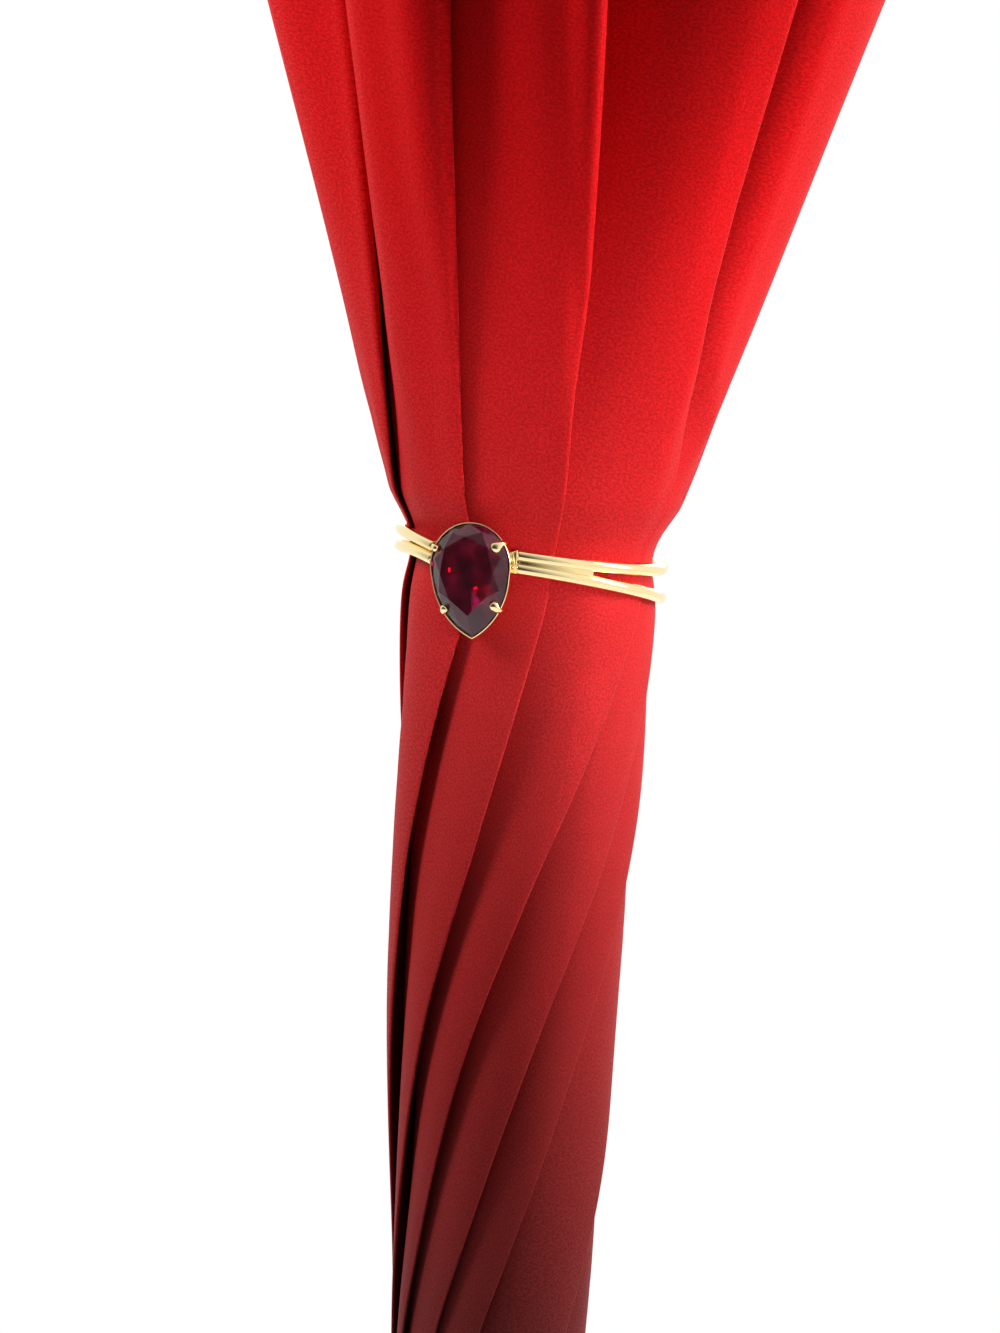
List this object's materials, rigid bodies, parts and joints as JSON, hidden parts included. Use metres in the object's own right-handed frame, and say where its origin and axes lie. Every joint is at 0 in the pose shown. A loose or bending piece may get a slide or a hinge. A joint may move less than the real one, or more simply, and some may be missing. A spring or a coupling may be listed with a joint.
{
  "type": "stick umbrella",
  "caption": "Furled stick umbrella with crook handle, folding rib frame and pleated cloth held by a gold double-wire bangle with a claw-set teardrop stone.",
  "frame": {"origin": "on the shaft's axis, at the shoulder where the ferrule's spike meets the open cap", "axes": "+Z along the shaft, from the ferrule up to the handle; -Y towards the front, where the bangle's stone sits; +X towards the crook's end"},
  "size_m": [0.1732, 0.1672, 0.8635],
  "materials": {
    "cloth": "red satin twill",
    "bangle": "polished pale gold plate",
    "stone": "faceted dark garnet glass",
    "fittings": "polished pale gold plate",
    "steel": "nickel-plated steel",
    "wood": "dark lacquered wood"
  },
  "bodies": {
    "stick": {"shaft": "steel", "ferrule": "fittings", "ferrule_tip": "steel", "open_cap": "fittings", "top_notch": "steel", "notch_wire": "steel", "runner_stop": "steel", "handle": "wood", "handle_collar": "fittings", "handle_end_cap": "fittings"},
    "rib_1": {"rib_1": "steel", "rib_tip_1": "fittings", "rivet_1": "steel", "canopy_panel_1": "cloth"},
    "stretcher_1": {"stretcher_1": "steel"},
    "rib_2": {"rib_2": "steel", "rib_tip_2": "fittings", "rivet_2": "steel", "canopy_panel_2": "cloth"},
    "stretcher_2": {"stretcher_2": "steel"},
    "rib_3": {"rib_3": "steel", "rib_tip_3": "fittings", "rivet_3": "steel", "canopy_panel_3": "cloth"},
    "stretcher_3": {"stretcher_3": "steel"},
    "rib_4": {"rib_4": "steel", "rib_tip_4": "fittings", "rivet_4": "steel", "canopy_panel_4": "cloth"},
    "stretcher_4": {"stretcher_4": "steel"},
    "rib_5": {"rib_5": "steel", "rib_tip_5": "fittings", "rivet_5": "steel", "canopy_panel_5": "cloth"},
    "stretcher_5": {"stretcher_5": "steel"},
    "rib_6": {"rib_6": "steel", "rib_tip_6": "fittings", "rivet_6": "steel", "canopy_panel_6": "cloth"},
    "stretcher_6": {"stretcher_6": "steel"},
    "rib_7": {"rib_7": "steel", "rib_tip_7": "fittings", "rivet_7": "steel", "canopy_panel_7": "cloth"},
    "stretcher_7": {"stretcher_7": "steel"},
    "rib_8": {"rib_8": "steel", "rib_tip_8": "fittings", "rivet_8": "steel", "canopy_panel_8": "cloth"},
    "stretcher_8": {"stretcher_8": "steel"},
    "runner": {"runner": "steel", "runner_wire": "steel"},
    "bangle": {"bangle_upper_wire": "bangle", "bangle_lower_wire": "bangle", "bangle_bridge": "bangle", "stone_setting": "bangle", "stone": "stone"},
    "hand_catch": {"hand_catch": "steel"},
    "open_catch": {"open_catch": "steel"}
  },
  "joints": [
    {"name": "rib_1_fold", "type": "hinge", "parent": "stick", "child": "rib_1", "pos_m": [0.009, 0, 0.024], "axis": [0, 1, 0], "range_deg": [0, 76], "deforming": ["canopy_panel_1", "canopy_panel_2", "canopy_panel_3", "canopy_panel_4", "canopy_panel_5", "canopy_panel_6", "canopy_panel_7", "canopy_panel_8"]},
    {"name": "stretcher_1_fold", "type": "hinge", "parent": "rib_1", "child": "stretcher_1", "pos_m": [0.009, 0, 0.304], "axis": [0, 1, 0], "range_deg": [-152, 0]},
    {"name": "rib_2_fold", "type": "hinge", "parent": "stick", "child": "rib_2", "pos_m": [0.00636, 0.00636, 0.024], "axis": [-0.7071, 0.7071, 0], "range_deg": [0, 76]},
    {"name": "stretcher_2_fold", "type": "hinge", "parent": "rib_2", "child": "stretcher_2", "pos_m": [0.00636, 0.00636, 0.304], "axis": [-0.7071, 0.7071, 0], "range_deg": [-152, 0]},
    {"name": "rib_3_fold", "type": "hinge", "parent": "stick", "child": "rib_3", "pos_m": [0, 0.009, 0.024], "axis": [-1, 0, 0], "range_deg": [0, 76]},
    {"name": "stretcher_3_fold", "type": "hinge", "parent": "rib_3", "child": "stretcher_3", "pos_m": [0, 0.009, 0.304], "axis": [-1, 0, 0], "range_deg": [-152, 0]},
    {"name": "rib_4_fold", "type": "hinge", "parent": "stick", "child": "rib_4", "pos_m": [-0.00636, 0.00636, 0.024], "axis": [-0.7071, -0.7071, 0], "range_deg": [0, 76]},
    {"name": "stretcher_4_fold", "type": "hinge", "parent": "rib_4", "child": "stretcher_4", "pos_m": [-0.00636, 0.00636, 0.304], "axis": [-0.7071, -0.7071, 0], "range_deg": [-152, 0]},
    {"name": "rib_5_fold", "type": "hinge", "parent": "stick", "child": "rib_5", "pos_m": [-0.009, 0, 0.024], "axis": [0, -1, 0], "range_deg": [0, 76]},
    {"name": "stretcher_5_fold", "type": "hinge", "parent": "rib_5", "child": "stretcher_5", "pos_m": [-0.009, 0, 0.304], "axis": [0, -1, 0], "range_deg": [-152, 0]},
    {"name": "rib_6_fold", "type": "hinge", "parent": "stick", "child": "rib_6", "pos_m": [-0.00636, -0.00636, 0.024], "axis": [0.7071, -0.7071, 0], "range_deg": [0, 76]},
    {"name": "stretcher_6_fold", "type": "hinge", "parent": "rib_6", "child": "stretcher_6", "pos_m": [-0.00636, -0.00636, 0.304], "axis": [0.7071, -0.7071, 0], "range_deg": [-152, 0]},
    {"name": "rib_7_fold", "type": "hinge", "parent": "stick", "child": "rib_7", "pos_m": [0, -0.009, 0.024], "axis": [1, 0, 0], "range_deg": [0, 76]},
    {"name": "stretcher_7_fold", "type": "hinge", "parent": "rib_7", "child": "stretcher_7", "pos_m": [0, -0.009, 0.304], "axis": [1, 0, 0], "range_deg": [-152, 0]},
    {"name": "rib_8_fold", "type": "hinge", "parent": "stick", "child": "rib_8", "pos_m": [0.00636, -0.00636, 0.024], "axis": [0.7071, 0.7071, 0], "range_deg": [0, 76]},
    {"name": "stretcher_8_fold", "type": "hinge", "parent": "rib_8", "child": "stretcher_8", "pos_m": [0.00636, -0.00636, 0.304], "axis": [0.7071, 0.7071, 0], "range_deg": [-152, 0]},
    {"name": "runner_fold", "type": "hinge", "parent": "stretcher_1", "child": "runner", "pos_m": [0.009, 0, 0.584], "axis": [0, 1, 0], "range_deg": [0, 76]},
    {"name": "bangle_slide", "type": "slide", "parent": "runner", "child": "bangle", "axis": [0, 0, -1], "range_m": [0, 0.48]},
    {"name": "hand_catch_press", "type": "slide", "parent": "stick", "child": "hand_catch", "axis": [-0.9239, -0.3827, 0], "range_m": [0, 0.0032], "stiffness_N_per_m": 700},
    {"name": "open_catch_press", "type": "slide", "parent": "stick", "child": "open_catch", "axis": [-0.9239, -0.3827, 0], "range_m": [0, 0.0032], "stiffness_N_per_m": 700}
  ],
  "couplings": [
    {"joint": "stretcher_1_fold", "follows": "rib_1_fold", "ratio": -2},
    {"joint": "rib_2_fold", "follows": "rib_1_fold", "ratio": 1},
    {"joint": "stretcher_2_fold", "follows": "rib_1_fold", "ratio": -2},
    {"joint": "rib_3_fold", "follows": "rib_1_fold", "ratio": 1},
    {"joint": "stretcher_3_fold", "follows": "rib_1_fold", "ratio": -2},
    {"joint": "rib_4_fold", "follows": "rib_1_fold", "ratio": 1},
    {"joint": "stretcher_4_fold", "follows": "rib_1_fold", "ratio": -2},
    {"joint": "rib_5_fold", "follows": "rib_1_fold", "ratio": 1},
    {"joint": "stretcher_5_fold", "follows": "rib_1_fold", "ratio": -2},
    {"joint": "rib_6_fold", "follows": "rib_1_fold", "ratio": 1},
    {"joint": "stretcher_6_fold", "follows": "rib_1_fold", "ratio": -2},
    {"joint": "rib_7_fold", "follows": "rib_1_fold", "ratio": 1},
    {"joint": "stretcher_7_fold", "follows": "rib_1_fold", "ratio": -2},
    {"joint": "rib_8_fold", "follows": "rib_1_fold", "ratio": 1},
    {"joint": "stretcher_8_fold", "follows": "rib_1_fold", "ratio": -2},
    {"joint": "runner_fold", "follows": "rib_1_fold", "ratio": 1}
  ]
}
